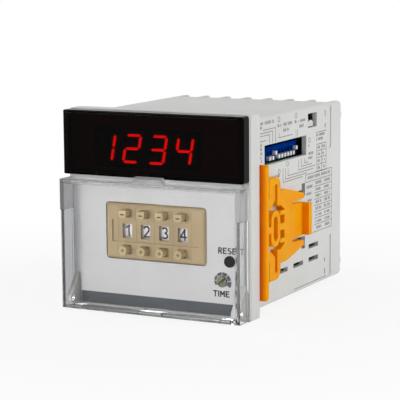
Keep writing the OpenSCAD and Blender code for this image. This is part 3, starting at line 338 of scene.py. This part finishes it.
inkBrown = printInk("inkBrown", (74, 56, 30), (86, 66, 38))
inkTan = printInk("inkTan", (138, 114, 74), (150, 126, 84))
screwSteel = drawnMetal("screwSteel", {"dark": (176, 177, 180), "light": (206, 207, 210), "rough": 0.3,
                                       "draw": (1, 6, 1)})
contactBrass = drawnMetal("contactBrass", {"dark": (196, 168, 96), "light": (222, 196, 124), "rough": 0.32,
                                           "draw": (1, 1, 5)})
silverFilm = drawnMetal("silverFilm", {"dark": (210, 210, 211), "light": (218, 218, 219), "rough": 0.45,
                                       "draw": (1, 1, 0.3), "streak": 0.2 * mm, "metal": 0.1,
                                       "relief": 0.002 * mm})
smokedPlastic = clearPlastic("smokedPlastic", {"dark": (70, 18, 16), "light": (76, 20, 18),
                                               "draw": (1, 1, 0.4), "flow": 30 * mm, "rough": 0.03,
                                               "through": 1.0, "bend": 1.12, "mirror": 1.0,
                                               "relief": 0.01 * mm, "ends": (10, 4, 4),
                                               "endSpan": (33.9 * mm, 34.3 * mm)})
clearFinish = clearPlastic("clearFinish", {"dark": (250, 250, 250), "light": (254, 254, 254),
                                           "draw": (1, 1, 0.4), "flow": 12 * mm, "rough": 0.015,
                                           "through": 1.0, "bend": 1.45, "mirror": 0.25,
                                           "relief": 0.008 * mm,
                                           # painted shade on the cover's walls and along their corners
                                           "leftWallShade": (182, 183, 185), "rightWallShade": (228, 228, 228),
                                           "leftCornerShade": (100, 101, 103), "rightCornerShade": (190, 191, 193),
                                           "wallFrom": 33.9 * mm, "floorTo": -33.9 * mm,
                                           "tabFrom": 10.9 * mm, "blend": 0.2 * mm, "frost": 0.5,
                                           "edge": 0.4 * mm, "edgeSpan": (0.8, 0.98),
                                           "dull": 0.2, "slantSpan": (1.2, 1.35),
                                           "lamps": (238, 238, 238), "wallLamps": (110, 110, 110)})
litRed = litPlastic("litRed", {"dark": (255, 24, 12), "light": (255, 40, 20), "cloud": 1.6 * mm,
                               "strength": 9.5, "rough": 0.4, "rim": (40, 2, 1),
                               "edge": 0.4 * mm, "edgeSpan": (0.75, 0.98)})
boardGreen = boardFinish("boardGreen", {"dark": (18, 58, 34), "light": (40, 92, 52), "lane": 3 * mm,
                                        "laneSpan": (0.06, 0.10), "cloud": 3 * mm,
                                        "roughSpan": (0.28, 0.42), "relief": 0.03 * mm})
coreSteel = coreFinish("coreSteel", {"dark": (52, 52, 56), "light": (92, 92, 98), "sheet": 0.5 * mm,
                                     "waver": 0.4, "roughSpan": (0.4, 0.6), "metal": 0.8,
                                     "relief": 0.05 * mm})

finishOf = {
    "case": casePlastic, "terminal_block": casePlastic, "front_frame": casePlastic,
    "terminal_screws": screwSteel, "terminal_clamps": screwSteel, "terminal_contacts": contactBrass,
    "display_window": smokedPlastic, "digit_modules": moduleBlack,
    "lit_bars": litRed, "unlit_bars": darkBars,
    "display_board": boardGreen, "control_board": boardGreen,
    "main_board": boardGreen, "power_board": boardGreen,
    "front_plate": silverFilm, "switch_end_left": tanPlastic, "switch_end_right": tanPlastic,
    "reset_button": buttonBlack, "reset_switch": blackPlastic,
    "trimmer_body": trimmerBlue, "trimmer_shaft": trimmerOlive,
    "transformer": coreSteel, "relay": relayBlue, "capacitors": sleevePlastic,
    "dip_switch": dipBlue, "selector_switch": blackPlastic, "selector_knob": knobGrey,
    "bracket_right": orangePlastic, "bracket_left": orangePlastic, "clear_cover": clearFinish,
}
for i in unitNumbers:
    finishOf[f"switch_housing_{i}"] = tanPlastic
    finishOf[f"number_wheel_{i}"] = wheelPlastic
    finishOf[f"minus_button_{i}"] = pegPlastic
    finishOf[f"plus_button_{i}"] = pegPlastic
for i in dipNumbers:
    finishOf[f"dip_slider_{i}"] = sliderWhite
for name, node in nodes.items():
    node.data.materials.clear()
    node.data.materials.append(finishOf[name])
print("finishes set:", len(set(finishOf.values())))


def gridQuads(rows, columns):  # the numbers of a grid's points, and its four-sided faces
    index = np.arange(rows * columns).reshape(rows, columns)
    quads = np.stack([index[:-1, :-1], index[1:, :-1], index[1:, 1:], index[:-1, 1:]], -1)
    return index, quads.reshape(-1, 4)


# Closed slab: a grid of points is the top, the same grid moved by depth is the bottom,
# and four walls join their rims; a negative volume means that the faces point inwards
def slabArrays(grid, depth):
    rows, columns = grid.shape[:2]
    points = np.concatenate([grid.reshape(-1, 3), (grid + depth).reshape(-1, 3)])
    index, top = gridQuads(rows, columns)
    bottom = (top + rows * columns)[:, ::-1]
    rim = np.concatenate([index[0, :-1], index[:-1, -1], index[-1, :0:-1], index[:0:-1, 0]])
    rimUnder = rim + rows * columns
    walls = np.stack([rim, np.roll(rim, -1), np.roll(rimUnder, -1), rimUnder], -1)
    faces = np.concatenate([top, bottom, walls])
    corner = points[faces]
    volume = np.einsum("ij,ij->i", corner[:, 0], np.cross(corner[:, 1], corner[:, 2])).sum()
    volume += np.einsum("ij,ij->i", corner[:, 0], np.cross(corner[:, 2], corner[:, 3])).sum()
    return points, faces if volume > 0 else faces[:, ::-1]


def joined(slabs):  # several slabs as one pair of arrays
    starts = np.cumsum([0] + [len(points) for points, faces in slabs[:-1]])
    points = np.concatenate([points for points, faces in slabs])
    faces = np.concatenate([slab[1] + start for start, slab in zip(starts, slabs)])
    return points, faces


def addPiece(name, points, faces, finish, body, slot):
    mesh = bpy.data.meshes.new(name)
    mesh.from_pydata(points.tolist(), [], faces.tolist())
    mesh.validate()
    mesh.materials.append(finish)
    piece = bpy.data.objects.new(name, mesh)
    scene.collection.objects.link(piece)
    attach(piece, body)


# Flat patch on a plane: u runs along the first direction and v along the second, over a grid of even steps
def patch(corner, along, across, steps=(2, 2)):
    u, v = np.meshgrid(np.linspace(0, 1, steps[0]), np.linspace(0, 1, steps[1]), indexing="ij")
    return np.array(corner) + u[..., None] * np.array(along) + v[..., None] * np.array(across)


# A straight bar with square ends, as a grid of points along it and across it
def straightGrid(x0, y0, x1, y1, width, steps=6):
    first, reach = np.array([x0, y0]), np.array([x1 - x0, y1 - y0])
    along = reach / np.linalg.norm(reach)
    across = np.array([-along[1], along[0]]) * width / 2
    middle = first - along * width / 2 + np.linspace(0, 1, steps)[:, None] * (reach + along * width)
    return np.stack([middle - across, middle + across], 1)


# An arc of an ellipse: the angle runs along it, and the width lies along its normal
def arcGrid(x, y, wide, tall, start, end, width, steps=15):
    angle = np.radians(np.linspace(start, end, steps))
    rim = np.stack([x + wide * np.cos(angle), y + tall * np.sin(angle)], -1)
    normal = np.stack([np.cos(angle) / wide, np.sin(angle) / tall], -1)
    normal *= width / 2 / np.linalg.norm(normal, axis=1, keepdims=True)
    return np.stack([rim - normal, rim + normal], 1)


# Letters and figures in a box one unit tall: four numbers are a bar from end to end,
# six are an arc with its middle, half width, half height and two angles
glyphs = {
    "0": [(0.31, 0.5, 0.25, 0.46, 0, 360)],
    "1": [(0.14, 0.76, 0.34, 0.93), (0.38, 0.06, 0.38, 0.94)],
    "2": [(0.31, 0.7, 0.24, 0.25, 170, -35), (0.5, 0.55, 0.09, 0.08), (0.09, 0.05, 0.55, 0.05)],
    "3": [(0.29, 0.73, 0.23, 0.22, 150, -90), (0.29, 0.28, 0.26, 0.23, 90, -150)],
    "4": [(0.43, 0.06, 0.43, 0.92), (0.4, 0.92, 0.07, 0.32), (0.07, 0.28, 0.57, 0.28)],
    "5": [(0.12, 0.94, 0.5, 0.94), (0.12, 0.94, 0.09, 0.54), (0.29, 0.32, 0.25, 0.27, 130, -150)],
    "6": [(0.31, 0.31, 0.23, 0.26, 0, 360), (0.5, 0.36, 0.42, 0.58, 180, 100)],
    "7": [(0.08, 0.94, 0.54, 0.94), (0.54, 0.94, 0.24, 0.06)],
    "8": [(0.31, 0.74, 0.2, 0.21, 0, 360), (0.31, 0.28, 0.24, 0.23, 0, 360)],
    "9": [(0.31, 0.69, 0.23, 0.26, 0, 360), (0.12, 0.64, 0.42, 0.58, 0, -80)],
    "R": [(0.09, 0.08, 0.09, 0.92), (0.09, 0.92, 0.31, 0.92), (0.31, 0.715, 0.2, 0.205, 90, -90),
          (0.09, 0.51, 0.31, 0.51), (0.32, 0.48, 0.5, 0.08)],
    "E": [(0.09, 0.08, 0.09, 0.92), (0.09, 0.92, 0.48, 0.92), (0.09, 0.51, 0.43, 0.51),
          (0.09, 0.08, 0.5, 0.08)],
    "S": [(0.31, 0.715, 0.21, 0.205, 40, 270), (0.31, 0.29, 0.23, 0.21, 90, -145)],
    "T": [(0.06, 0.92, 0.56, 0.92), (0.31, 0.08, 0.31, 0.84)],
    "I": [(0.1, 0.08, 0.1, 0.92)],
    "M": [(0.09, 0.08, 0.09, 0.92), (0.14, 0.86, 0.37, 0.4), (0.37, 0.4, 0.6, 0.86),
          (0.65, 0.08, 0.65, 0.92)],
}
advance = {"usual": 0.72, "I": 0.32, "M": 0.86, "side": 0.05}


def wordGrids(word, tall, bold):  # the strokes of a word about its middle, in metres
    ends = np.cumsum([0] + [advance.get(letter, advance["usual"]) for letter in word])
    grids = []
    for letter, start in zip(word, ends):
        for stroke in glyphs[letter]:
            shape = straightGrid if len(stroke) == 4 else arcGrid
            grids.append(shape(*stroke, bold) + (start + advance["side"] - ends[-1] / 2, -0.5))
    return [grid * tall for grid in grids]


# Control plate: the dark stripe, the two words and the growing wedges around the trimmer
plateInk = {"film": 0.03 * mm, "stripeTop": -29.9 * mm, "stripeHalf": 30.6 * mm, "stripeLift": 0.05 * mm,
            "stripeSteps": (24, 3), "letter": 2.15 * mm, "stretch": 1.17, "bold": 0.19,
            "reset": (28.9 * mm, -11.1 * mm), "time": (25.7 * mm, -26.3 * mm)}
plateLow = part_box("front_plate")[0]
ink = np.array([0, -plateInk["film"], 0])


def onPlate(x, z):  # places on the plate's front face
    return np.stack([x, np.full_like(x, plateLow.y), z], -1)


stripeStart = (-plateInk["stripeHalf"], plateLow.y, plateLow.z + plateInk["stripeLift"])
stripeLong = (2 * plateInk["stripeHalf"], 0, 0)
stripeTall = (0, 0, plateInk["stripeTop"] - plateLow.z)
stripe = patch(stripeStart, stripeLong, stripeTall, plateInk["stripeSteps"])
addPiece("plate_stripe", *slabArrays(stripe, ink), inkSlate, "housing", "digit_black")
for word in ("RESET", "TIME"):
    x, z = plateInk[word.lower()]
    strokes = []
    for grid in wordGrids(word, plateInk["letter"], plateInk["bold"]):
        placed = onPlate(x + grid[..., 0] * plateInk["stretch"], z + grid[..., 1])
        strokes.append(slabArrays(placed, ink))
    addPiece(f"word_{word.lower()}", *joined(strokes), inkDark, "housing", "digit_black")

scaleRing = {"count": 6, "start": 215, "sweep": -250, "gap": 6, "inner": 2.2 * mm, "thin": 0.6 * mm,
             "thick": 1.6 * mm, "steps": 7}
trimLow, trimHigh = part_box("trimmer_shaft")
trimMid = (trimLow + trimHigh) / 2


# One wedge: the angle runs along it and the radius across it, and its outer rim grows with the angle
def wedge(k):
    span = scaleRing["sweep"] / scaleRing["count"]
    first = scaleRing["start"] + k * span - scaleRing["gap"] / 2
    last = first + span + scaleRing["gap"]
    share, across = np.meshgrid(np.linspace(0, 1, scaleRing["steps"]), [0, 1], indexing="ij")
    angle = np.radians(first + (last - first) * share)
    grown = (k + share) / scaleRing["count"]
    thickness = scaleRing["thin"] + (scaleRing["thick"] - scaleRing["thin"]) * grown
    radius = scaleRing["inner"] + across * thickness
    return slabArrays(onPlate(trimMid.x + radius * np.cos(angle), trimMid.z + radius * np.sin(angle)), ink)


wedges = [wedge(k) for k in range(scaleRing["count"])]
addPiece("trimmer_scale", *joined(wedges), inkSlate, "housing", "digit_black")
print("control plate printed")

# Number wheels: ten figures bent round each rim, the shown one in front
wheelInk = {"figure": 4.1 * mm, "film": 0.04 * mm, "steps": 10, "bold": 0.14, "shift": -0.3 * mm}


# A figure's height runs round the rim: angle = its step plus height over radius
def rimFigure(value, shown, wheelMid, radius):
    turn = (value - shown) * 2 * math.pi / wheelInk["steps"]
    slabs = []
    for grid in wordGrids(str(value), wheelInk["figure"], wheelInk["bold"]):
        angle = turn + grid[..., 1] / radius
        none = np.zeros_like(angle)
        outward = np.stack([none, -np.cos(angle), np.sin(angle)], -1)
        sideways = np.stack([grid[..., 0] + wheelInk["shift"], none, none], -1)
        slabs.append(slabArrays(wheelMid + outward * radius + sideways, outward * wheelInk["film"]))
    return slabs


for i in unitNumbers:
    low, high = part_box(f"number_wheel_{i}")
    middle = np.array((low + high) / 2)
    radius = (high.z - low.z) / 2
    rims = [slab for value in range(wheelInk["steps"]) for slab in rimFigure(value, i, middle, radius)]
    addPiece(f"wheel_figures_{i}", *joined(rims), inkDark, f"wheel_{i}", "digit_black")

pegMark = {"long": 1.5 * mm, "wide": 0.42 * mm, "film": 0.05 * mm, "minusZ": -0.55 * mm,
           "plusZ": -13.4 * mm, "levelSteps": (5, 2), "uprightSteps": (2, 3)}


# A mark is a level bar on the front of a button, and a plus has an upright half bar above and below it
def pegBars(node, z, crossed):
    low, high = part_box(node)
    x = (low.x + high.x) / 2
    half, thin = pegMark["long"] / 2, pegMark["wide"] / 2
    bars = [patch((x - half, low.y, z - thin), (2 * half, 0, 0), (0, 0, 2 * thin), pegMark["levelSteps"])]
    if crossed:
        for bottom in (z + thin, z - half):
            corner = (x - thin, low.y, bottom)
            bars.append(patch(corner, (2 * thin, 0, 0), (0, 0, half - thin), pegMark["uprightSteps"]))
    return joined([slabArrays(bar, np.array([0, -pegMark["film"], 0])) for bar in bars])


for i in unitNumbers:
    minus = pegBars(f"minus_button_{i}", pegMark["minusZ"], False)
    addPiece(f"minus_mark_{i}", *minus, inkBrown, f"minus_{i}", "digit_black")
    plus = pegBars(f"plus_button_{i}", pegMark["plusZ"], True)
    addPiece(f"plus_mark_{i}", *plus, inkTan, f"plus_{i}", "digit_black")
print("wheels and buttons marked")

# Right side: plain connection lines, rings, tables and rows of short bars printed on the case
sideInk = {"film": 0.03 * mm, "line": 0.24, "lineSteps": 3, "ring": 0.85,
           "letter": 0.54, "letterGap": 0.24, "letterTall": 1.2, "wordLong": 8, "barSteps": 2,
           "widths": (0.6, 0.8, 1.0), "heights": (1.0, 0.8, 0.8, 0.8)}
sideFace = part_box("terminal_block")[1].x
sidePaths = [  # corners in y and z, in millimetres
    [(5, 27.1), (12.6, 27.1), (12.6, 24.2)], [(5, 28.1), (15.1, 28.1), (15.1, 24.2)],
    [(7.3, 29.1), (17.6, 29.1), (17.6, 24.2)], [(20.6, 26.6), (20.6, 25.2), (32.2, 25.2)],
    [(35.3, 26.4), (35.3, 24.2)], [(36.8, 26.4), (36.8, 24.2)], [(4.8, 25.3), (9.8, 25.3)],
    [(37.8, 15.2), (37.8, 11.6), (52.6, 11.6)], [(40.2, 15.2), (40.2, 12.6), (49.8, 12.6)],
    [(43, 15.2), (43, 13.6), (46.1, 13.6)], [(24, 13.6), (24, 8.7), (41.2, 8.7)],
    [(26.1, 13.6), (26.1, 9.6), (45.2, 9.6)], [(28.4, 13.2), (28.4, 10.6), (50.8, 10.6)],
    [(53.4, 23.7), (62.9, 23.7)], [(54.2, 9), (54.2, 19.2), (63, 19.2), (63, 9), (54.2, 9)],
    [(58.6, 9), (58.6, 19.2)], [(43.9, 8.9), (68.4, 8.9), (68.4, -13.6), (50.6, -13.6)],
    [(43.9, 8.9), (43.9, 6.1), (68.4, 6.1)], [(34, -32.2), (63.4, -32.2)],
]
sidePaths += [[(54.2, z), (63, z)] for z in np.linspace(11.6, 16.7, 3)]
sidePaths += [[(52.2, z), (68.4, z)] for z in np.linspace(3.5, -10.9, 7)]
sideWords = [  # y and z of the lower front corner, and length
    (8.6, 31, 8.4), (4.9, 31, 2.6), (4.9, 29.6, 2), (24.2, 29, 7.8), (24.2, 26.9, 5), (19.4, 29, 3.4),
    (37.3, 29, 6.3), (37.3, 27, 5.2), (34.2, 29, 2.2), (46.3, 16.1, 5.2), (46.3, 14.4, 5.2),
    (46.5, 19, 1.2), (13.6, 11, 8), (53.6, 22.2, 8.8), (53.6, 20.6, 6.4), (45, 7, 22.5),
    (44.8, 3.6, 6.2), (44.8, 1.1, 6.2), (45.6, -1.5, 4.6),
]
sideWords += [(5, z, 2.1) for z in np.linspace(23.4, 17.8, 5)]
sideWords += [(y, z, 3) for y in (54.9, 59.3) for z in (17.4, 14.9, 12.4, 9.8)]
sideWords += [(y, z, 6) for y in (53.2, 61.2) for z in np.linspace(4.3, -12.7, 8)]
sideRings = [(20.6, 31.7), (35.3, 31.7), (47.5, 21.5), (20.8, 12.9), (28, 15)]
sideGrids = []
for path in sidePaths:
    for first, second in zip(path[:-1], path[1:]):
        sideGrids.append(straightGrid(*first, *second, sideInk["line"], sideInk["lineSteps"]))
for y, z in sideRings:
    sideGrids.append(arcGrid(y, z, sideInk["ring"], sideInk["ring"], 0, 360, sideInk["line"]))
pitch = sideInk["letter"] + sideInk["letterGap"]
# Tall and low bars of three widths stand for letters, with gaps between words
for row, (y, z, length) in enumerate(sideWords):
    for k in range(max(1, int(length / pitch))):
        if (k + row) % sideInk["wordLong"] == sideInk["wordLong"] - 1:
            continue
        wide = sideInk["letter"] * sideInk["widths"][(2 * k + row) % len(sideInk["widths"])]
        tall = sideInk["letterTall"] * sideInk["heights"][(k * k + row) % len(sideInk["heights"])]
        middle = y + (k + 0.5) * pitch
        ends = (middle, z + wide / 2, middle, z + tall - wide / 2)
        sideGrids.append(straightGrid(*ends, wide, sideInk["barSteps"]))
sideSlabs = []
for grid in sideGrids:
    placed = np.stack([np.full(grid.shape[:2], sideFace), grid[..., 0] * mm, grid[..., 1] * mm], -1)
    sideSlabs.append(slabArrays(placed, np.array([sideInk["film"], 0, 0])))
addPiece("side_print", *joined(sideSlabs), inkGrey, "housing", "digit_black")
print("side printed:", len(sideSlabs), "strokes")

# Floor: white to the camera and in reflections, with a soft shade around the object
floorLook = {"z": -36.0 * mm, "half": 3.0, "steps": 9, "grey": 0.9,
             "shade": 0.14, "shadeSpan": (0.09, 0.22)}
floorCorner = (-floorLook["half"], -floorLook["half"], floorLook["z"])
floorLong = 2 * floorLook["half"]
floorGrid = patch(floorCorner, (floorLong, 0, 0), (0, floorLong, 0), (floorLook["steps"],) * 2)
floorQuads = gridQuads(*floorGrid.shape[:2])[1]
floorMesh = bpy.data.meshes.new("floor")
floorMesh.from_pydata(floorGrid.reshape(-1, 3).tolist(), [], floorQuads.tolist())
floor = bpy.data.objects.new("floor", floorMesh)
scene.collection.objects.link(floor)

floorFinish, tree, plastic, place = newFinish("floorFinish")
tree.nodes.remove(plastic)  # two plain shaders stand in its place
matte = tree.nodes.new("ShaderNodeBsdfDiffuse")
matte.inputs["Color"].default_value = (floorLook["grey"],) * 3 + (1,)
white = tree.nodes.new("ShaderNodeEmission")
rays = tree.nodes.new("ShaderNodeLightPath").outputs
reach = measured(tree, "LENGTH", place)
whiteness = between(tree, reach, 1 - floorLook["shade"], 1, *floorLook["shadeSpan"])
seen = worked(tree, "MAXIMUM", rays["Is Camera Ray"], mirrored(tree, rays))
amount = worked(tree, "MULTIPLY", seen, whiteness)
shaderMix(tree, amount, matte, white, tree.nodes["Material Output"].inputs["Surface"])
floorMesh.materials.append(floorFinish)

# The backdrop is white behind and beside the object, and the room in front of it is dark
studio = {"behind": 1.0, "front": 0.2, "span": (-0.35, 0.25), "ambient": 0.4, "plain": 1.0}
world = bpy.data.worlds.new("studio")
scene.world = world
world.use_nodes = True
tree = world.node_tree
tree.nodes.clear()
output = tree.nodes.new("ShaderNodeOutputWorld")
background = tree.nodes.new("ShaderNodeBackground")
background.inputs["Color"].default_value = (1, 1, 1, 1)
rays = tree.nodes.new("ShaderNodeLightPath").outputs
toward = axes(tree, tree.nodes.new("ShaderNodeTexCoord").outputs["Generated"])
backdrop = between(tree, toward["Y"], studio["front"], studio["behind"], *studio["span"])
# Gloss and glass show the backdrop, and the camera sees plain white
shown = blended(tree, mirrored(tree, rays), studio["ambient"], backdrop, "FLOAT")
seen = blended(tree, rays["Is Camera Ray"], shown, studio["plain"], "FLOAT")
tree.links.new(seen, background.inputs["Strength"])
tree.links.new(background.outputs[0], output.inputs["Surface"])

lamps = {
    "top": {"place": (-0.4, -0.15, 0.85), "size": 0.5, "power": 1.75},
    "front": {"place": (-0.45, -0.95, 0.15), "size": 0.3, "power": 2.75},
    "side": {"place": (0.9, 0.15, 0.3), "size": 0.6, "power": 3.9},
}
lampAim = Vector((0, 0.03, 0))
for name, lamp in lamps.items():
    data = bpy.data.lights.new(name, "AREA")
    data.shape = "SQUARE"
    data.size = lamp["size"]
    data.energy = lamp["power"]
    holder = bpy.data.objects.new(name, data)
    scene.collection.objects.link(holder)
    turn = (lampAim - Vector(lamp["place"])).to_track_quat("-Z", "Y")
    holder.matrix_world = Matrix.Translation(lamp["place"]) @ turn.to_matrix().to_4x4()

# Camera at the photograph's angle
shot = {"azimuth": 27.41, "elevation": 8.541, "roll": -0.42, "target": (-8.342 * mm, 40 * mm, -2.456 * mm),
        "distance": 647.87 * mm, "lens": 154.04, "sensor": 36.0, "clip": 10 * mm}
azimuth, elevation, roll = (math.radians(shot[key]) for key in ("azimuth", "elevation", "roll"))
level = math.cos(elevation)
back = Vector((math.sin(azimuth) * level, -math.cos(azimuth) * level, math.sin(elevation)))
right = Vector((0, 0, 1)).cross(back).normalized()
up = back.cross(right)
eye = Vector(shot["target"]) + back * shot["distance"]
turnedRight = right * math.cos(roll) + up * math.sin(roll)
turnedUp = up * math.cos(roll) - right * math.sin(roll)
cameraRows = [[turnedRight[k], turnedUp[k], back[k], eye[k]] for k in range(3)]
cameraData = bpy.data.cameras.new("camera")
cameraData.lens = shot["lens"]
cameraData.sensor_width = shot["sensor"]
cameraData.clip_start = shot["clip"]
camera = bpy.data.objects.new("camera", cameraData)
camera.matrix_world = Matrix(cameraRows + [[0, 0, 0, 1]])
scene.collection.objects.link(camera)
scene.camera = camera
scene.view_settings.view_transform = "Standard"
print("stage, lamps and camera set")
